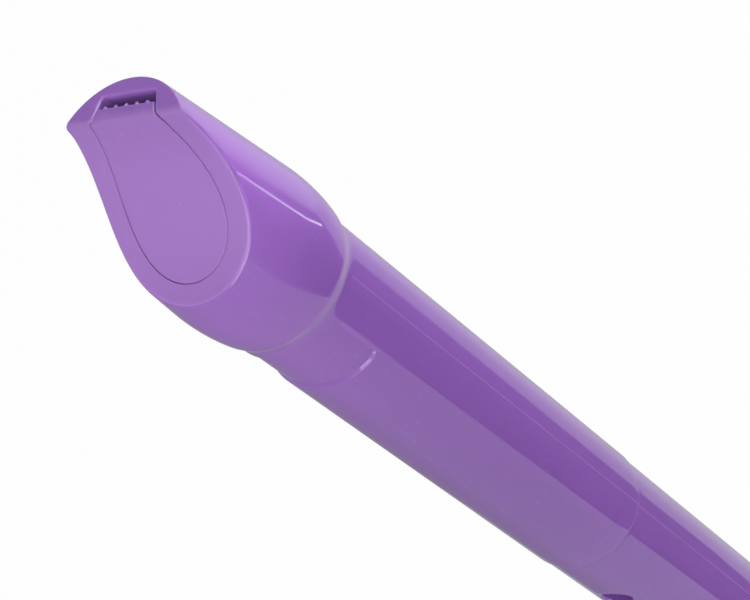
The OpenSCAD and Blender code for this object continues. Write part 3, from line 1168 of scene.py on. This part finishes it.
# %% White for the camera
def white_for_eyes(nodes, links):
    """1 for what is seen directly, in a reflection or through glass, 0 for light that falls on surfaces."""
    path = add_node(nodes, "ShaderNodeLightPath")
    seen = add_node(nodes, "ShaderNodeMath", operation="MAXIMUM")
    links.new(path.outputs["Is Camera Ray"], seen.inputs[0])
    links.new(path.outputs["Is Glossy Ray"], seen.inputs[1])
    through = add_node(nodes, "ShaderNodeMath", operation="MAXIMUM")
    links.new(seen.outputs[0], through.inputs[0])
    links.new(path.outputs["Is Transmission Ray"], through.inputs[1])
    return through.outputs[0]


def sheet_mesh(name, outline):
    """A level sheet, for the floor and the cards."""
    mesh = bpy.data.meshes.new(name)
    mesh.from_pydata([(x, y, 0) for x, y in outline], [], [list(range(len(outline)))])
    piece = add_piece(name, mesh)
    return piece


print("white for the camera, in reflections and through glass")

# %% Floor and room
floor_half = 4.0
floor_white = 0.97
paper_grey = 0.86
paper_rough = 0.9
square = ((-1, -1), (1, -1), (1, 1), (-1, 1))
floor_corners = [(floor_half * x, floor_half * y) for x, y in square]
floor = sheet_mesh("floor", floor_corners)
floor_paper = bpy.data.materials.new("floor_paper")
floor_paper.use_nodes = True
nodes, links = floor_paper.node_tree.nodes, floor_paper.node_tree.links
paper = nodes["Principled BSDF"]
paper.inputs["Base Color"].default_value = (paper_grey, paper_grey, paper_grey, 1)
paper.inputs["Roughness"].default_value = paper_rough
glow = add_node(nodes, "ShaderNodeEmission", Strength=1.0)
mixed = add_node(nodes, "ShaderNodeMixShader")
share = add_node(nodes, "ShaderNodeMath", operation="MULTIPLY")
share.inputs[1].default_value = floor_white
links.new(white_for_eyes(nodes, links), share.inputs[0])
links.new(share.outputs[0], mixed.inputs["Fac"])
links.new(paper.outputs["BSDF"], mixed.inputs[1])
links.new(glow.outputs["Emission"], mixed.inputs[2])
links.new(mixed.outputs["Shader"], nodes["Material Output"].inputs["Surface"])
floor.data.materials.append(floor_paper)

room_light = 0.47
room = bpy.data.worlds.new("room")
room.use_nodes = True
bpy.context.scene.world = room
nodes, links = room.node_tree.nodes, room.node_tree.links
level = add_node(nodes, "ShaderNodeMapRange")
level.inputs["To Min"].default_value = room_light
level.inputs["To Max"].default_value = 1.0
links.new(white_for_eyes(nodes, links), level.inputs["Value"])
links.new(level.outputs["Result"], nodes["Background"].inputs["Strength"])
nodes["Background"].inputs["Color"].default_value = (1, 1, 1, 1)
print(f"floor {2 * floor_half} m wide, room light {room_light}")

# %% [markdown]
# ## What the gloss mirrors
# Gloss shows its surroundings more than its own colour, so the surroundings are made too. A studio would use
# grey and white cards. Here all but one lie far under the floor, which is hidden from reflections, so the
# mirrored edges run as straight as those of a distant room. A helper makes such a card: only reflections see
# it, and a ramp of greys over a gradient gives its light.

# %% A card for reflections
card_depth = 0.9
card_reach = 5.0
toward_camera = Vector((-0.829, 0.558))
sweep_turn = math.atan2(toward_camera.y, toward_camera.x)
floor.visible_glossy = False


def mirrored_card(name, outline, rise, texture, stops, strength=1.0):
    """A card that only reflections see, lit by a ramp of plain greys over a gradient."""
    piece = sheet_mesh(name, [(x / card_reach, y / card_reach) for x, y in outline])
    piece.scale = (card_reach,) * 3
    piece.location.z = rise - card_depth
    piece.visible_camera = False
    piece.visible_diffuse = False
    piece.visible_shadow = False
    piece.visible_transmission = False
    material = bpy.data.materials.new(name)
    material.use_nodes = True
    nodes, links = material.node_tree.nodes, material.node_tree.links
    nodes.remove(nodes["Principled BSDF"])
    place = add_node(nodes, "ShaderNodeTexCoord").outputs["Object"]
    shade = add_node(nodes, "ShaderNodeTexGradient", gradient_type=texture)
    if texture == "RADIAL":
        swung = add_node(nodes, "ShaderNodeMapping")
        swung.inputs["Rotation"].default_value[2] = -sweep_turn
        links.new(place, swung.inputs["Vector"])
        place = swung.outputs["Vector"]
    links.new(place, shade.inputs["Vector"])
    ramp = add_node(nodes, "ShaderNodeValToRGB")
    points = ramp.color_ramp.elements
    while len(points) < len(stops):
        points.new(0.5)
    for point, (at, grey) in zip(points, stops):
        point.position = at
        point.color = (grey, grey, grey, 1)
    links.new(shade.outputs["Fac"], ramp.inputs["Fac"])
    lit = add_node(nodes, "ShaderNodeEmission", Strength=strength)
    links.new(ramp.outputs["Color"], lit.inputs["Color"])
    links.new(lit.outputs["Emission"], nodes["Material Output"].inputs["Surface"])
    piece.data.materials.append(material)


def even_card(grey):
    """Two equal stops, for a card of one grey."""
    return (0.0, grey), (1.0, grey)


print(f"cards lie {card_depth} m under the floor")

# %% [markdown]
# ## The cards
# A wide sweep darkens towards both silhouettes of the tube. On it lie a dark card, which makes the long band
# on the tube and the patch on the bulb, a pale one beyond its far edge and a light sector round the middle.
# A lit strip makes the bright line on the bulb, and a soft card clears the crease of the neck. One dark card
# hangs above, because the flat tip looks up. Each rises a little over the one that it covers.

# %% Sweep, dark and pale card
sweep_corners = np.linspace(0, 6.2, 40)
sweep_outline = [(card_reach * math.cos(a), card_reach * math.sin(a)) for a in sweep_corners]
sweep_stops = (
    (0.0, 0.3), (0.09, 0.3), (0.17, 0.38), (0.21, 0.5), (0.25, 0.65), (0.30, 0.78), (0.38, 0.92),
    (0.45, 1.0), (0.72, 1.0), (0.78, 0.75), (0.86, 0.78), (0.90, 0.72), (0.95, 0.5), (1.0, 0.35),
)
mirrored_card("sweep_card", sweep_outline, 0, "RADIAL", sweep_stops)

dark_outline = [
    (-0.423, -0.032), (-0.55, 0.10), (-0.68, 0.235), (-0.80, 0.37), (-0.985, 0.555), (-1.314, 0.97),
    (-3.2, 2.6), (-3.2, -2.3), (-0.85, -1.345), (-0.72, -1.315), (-0.52, -1.22), (-0.49, -1.0),
    (-0.45, -0.90), (-0.416, -0.766), (-0.384, -0.65), (-0.315, -0.575), (-0.36, -0.45), (-0.40, -0.25),
]
dark_stops = ((0.0, 0.65), (0.6, 0.6), (0.75, 0.17), (1.0, 0.15))
mirrored_card("dark_card", dark_outline, 0.002, "SPHERICAL", dark_stops)

pale_outline = [(-0.85, -1.345), (-0.52, -1.22), (1.6, -1.22), (3.0, -3.0), (-3.0, -3.0), (-3.0, -2.2)]
pale_stops = (
    (0.72, 0.3), (0.75, 0.7), (0.78, 1.1), (0.81, 1.2), (0.85, 1.05), (0.90, 0.8), (0.95, 0.5), (1.0, 0.4),
)
mirrored_card("pale_card", pale_outline, 0.003, "RADIAL", pale_stops)
print("large cards with", len(sweep_stops), len(dark_stops), "and", len(pale_stops), "stops")

# %% Smaller cards
under_r = 0.5
under_grey = 0.95
under_corners = np.radians(range(150, 277, 7))
under_outline = [(under_r * math.cos(a), under_r * math.sin(a)) for a in under_corners]
mirrored_card("under_card", under_outline, 0.003, "SPHERICAL", even_card(under_grey))

line_from = Vector((-1.18, -1.135))
line_to = Vector((-0.60, -1.00))
line_w = 0.05
line_strength = 5.5
line_side = (line_to - line_from).orthogonal().normalized() * line_w / 2
line_outline = [line_from + line_side, line_to + line_side, line_to - line_side, line_from - line_side]
mirrored_card("line_card", line_outline, 0.004, "SPHERICAL", even_card(1.0), line_strength)

crease_outline = [
    (0.0, 0.0), (0.05, 0.32), (0.42, 0.26), (0.62, 0.08), (0.85, -0.05), (0.85, -0.45), (0.1, -0.4),
]
crease_stops = ((0.84, 0.4), (0.93, 0.75))
mirrored_card("crease_card", crease_outline, 0.002, "SPHERICAL", crease_stops)

tip_card_at = Vector((0.73, -0.51))
tip_card_half = 0.8
tip_card_up = 1.3
tip_card_grey = 0.05
tip_outline = [tip_card_at + Vector(corner) * tip_card_half for corner in square]
mirrored_card("tip_card", tip_outline, card_depth + tip_card_up, "SPHERICAL", even_card(tip_card_grey))

# %% [markdown]
# ## Lamps
# The lamps bring out the plastic's own colour, and reflections don't see them, because the cards are there
# for that. Each lamp is set by the level that it gives to a surface at its target, so it can be moved
# without changing the exposure. A narrow spread works like a tube in front of a studio lamp: it keeps the
# light on the beak or on the bulb alone.

# %% Lamps
def below_tip(depth, x=0.0):
    """A place on the head, given by its depth under the tip in metres."""
    return Vector((x, 0, tip_z * MM - depth))


beak_middle = below_tip(0.02)
white = (1.0, 1.0, 1.0)
warm = (1.0, 0.97, 0.88)


def soft_lamp(name, place, size, level, spread=180, target=beak_middle, colour=white):
    """A lamp that lights a surface facing it at the target to a level, where 1 makes white paper white."""
    away = target - Vector(place)
    data = bpy.data.lights.new(name, "AREA")
    data.shape = "RECTANGLE"
    data.size, data.size_y = size
    data.color = colour
    data.energy = level * (math.pi * away.length) ** 2
    if spread < 180:
        half = math.radians(spread) / 2
        data.spread = 2 * half
        data.energy *= 2 * (1 - half / math.tan(half))
    lamp = bpy.data.objects.new(name, data)
    lamp.location = place
    lamp.rotation_euler = away.to_track_quat("-Z", "Y").to_euler()
    lamp.visible_glossy = False
    bpy.context.scene.collection.objects.link(lamp)
    return lamp


# Place and size in metres, level, spread in degrees, target and colour.
soft_lamp("key", (-0.52, 0.68, 1.15), (0.7, 0.7), 0.29)
soft_lamp("side", (-0.6, -0.8, 0.42), (0.5, 0.5), 0.33)
soft_lamp("front_lamp", (-0.06, -0.285, 0.29), (0.06, 0.06), 0.24, 50)
soft_lamp("beak_lamp", (0.10, 0.45, 0.55), (0.06, 0.06), 0.29, 13, below_tip(0.026), warm)
soft_lamp("bulb_lamp", (-0.26, 0.04, 0.335), (0.02, 0.02), 0.30, 11, below_tip(0.010, -0.0125), warm)

# %% [markdown]
# ## Glints
# Rounded edges of polished plastic catch bright lines from windows and lamps. Stronger lamps would draw them
# too, but would bleach the colour. So three lamps are seen only in reflections and light nothing else: one
# for the rim, one for the windway's bevel and one for the panel's edge.

# %% Glints
def glint(name, place, size, level):
    """A lamp that only reflections see."""
    lamp = soft_lamp(name, place, size, level)
    lamp.visible_glossy = True
    lamp.visible_diffuse = False


glint("rim_glint", (-0.50, 0.95, 0.36), (0.9, 0.35), 0.50)
glint("windway_glint", (-0.90, -0.46, 0.98), (0.35, 0.35), 2.3)
glint("panel_glint", (-0.52, 0.72, 1.10), (0.45, 0.45), 0.5)

# %% [markdown]
# ## Finish
# The Standard view shows colours without a film curve, so white paper stays white.

# %% Finish
bpy.context.scene.view_settings.view_transform = "Standard"
